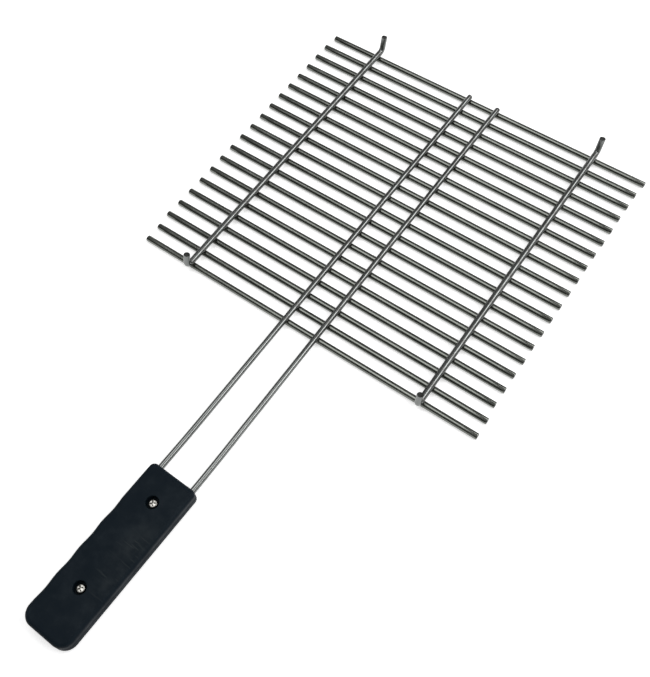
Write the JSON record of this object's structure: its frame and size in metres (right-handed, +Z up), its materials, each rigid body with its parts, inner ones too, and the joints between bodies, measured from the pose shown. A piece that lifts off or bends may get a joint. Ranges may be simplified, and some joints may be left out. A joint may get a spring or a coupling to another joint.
{
  "type": "grill grate",
  "caption": "Welded wire grill grate with cross bars, side rails with turned-up ends, and a long wire neck in a flat black handle with finger hollows.",
  "frame": {"origin": "on the surface that the grate lies on, under the middle of the whole outline, which is just in front of the bar nearest the handle", "axes": "+X to the right along the bars, +Y away from the handle towards the far bar, +Z up to the side with the turned-up ends"},
  "size_m": [0.3, 0.5413, 0.0205],
  "materials": {
    "bar_steel": "dull plated wire, lightly drawn along its length",
    "wire_steel": "dull plated wire, lightly drawn along its length",
    "black_plastic": "matte moulded black, fine grain, lightly worn",
    "screw_nickel": "bright nickel"
  },
  "bodies": {
    "root": {"cross_rod_01": "bar_steel", "cross_rod_02": "bar_steel", "cross_rod_03": "bar_steel", "cross_rod_04": "bar_steel", "cross_rod_05": "bar_steel", "cross_rod_06": "bar_steel", "cross_rod_07": "bar_steel", "cross_rod_08": "bar_steel", "cross_rod_09": "bar_steel", "cross_rod_10": "bar_steel", "cross_rod_11": "bar_steel", "cross_rod_12": "bar_steel", "cross_rod_13": "bar_steel", "cross_rod_14": "bar_steel", "cross_rod_15": "bar_steel", "cross_rod_16": "bar_steel", "cross_rod_17": "bar_steel", "cross_rod_18": "bar_steel", "cross_rod_19": "bar_steel", "cross_rod_20": "bar_steel", "left_rail": "wire_steel", "right_rail": "wire_steel", "handle_wire": "wire_steel", "handle_top": "black_plastic", "handle_bottom": "black_plastic", "front_screw": "screw_nickel", "rear_screw": "screw_nickel"}
  },
  "joints": []
}
